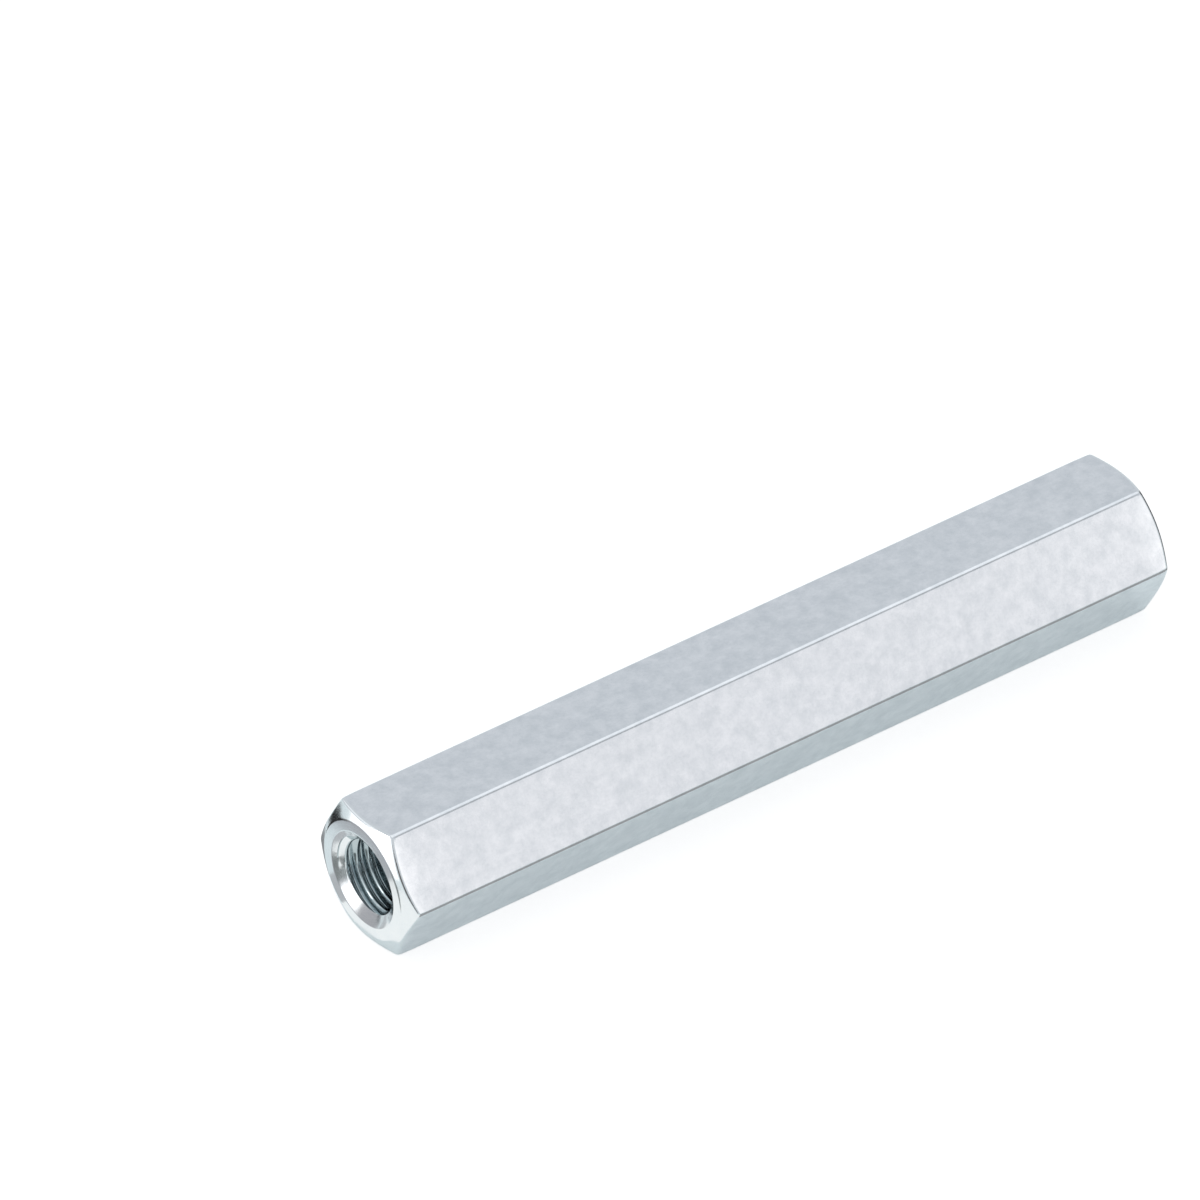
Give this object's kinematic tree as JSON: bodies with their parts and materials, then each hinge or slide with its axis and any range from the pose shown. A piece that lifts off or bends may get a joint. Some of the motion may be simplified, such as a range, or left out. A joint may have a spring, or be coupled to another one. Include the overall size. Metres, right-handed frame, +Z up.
{
  "type": "coupling nut",
  "caption": "Long hexagonal coupling nut, tapped right through, with chamfered ends, for joining two threaded rods end to end.",
  "frame": {"origin": "on the axis of the bore, half way along the nut", "axes": "+X along the bore, +Z up out of the top flat, +Y to the corner between the two side flats"},
  "size_m": [0.12, 0.0214, 0.0188],
  "materials": {
    "zinc_plate": "bright blue-white zinc plate, smooth with a faint mottle"
  },
  "bodies": {
    "root": {"nut_body": "zinc_plate"}
  },
  "joints": []
}
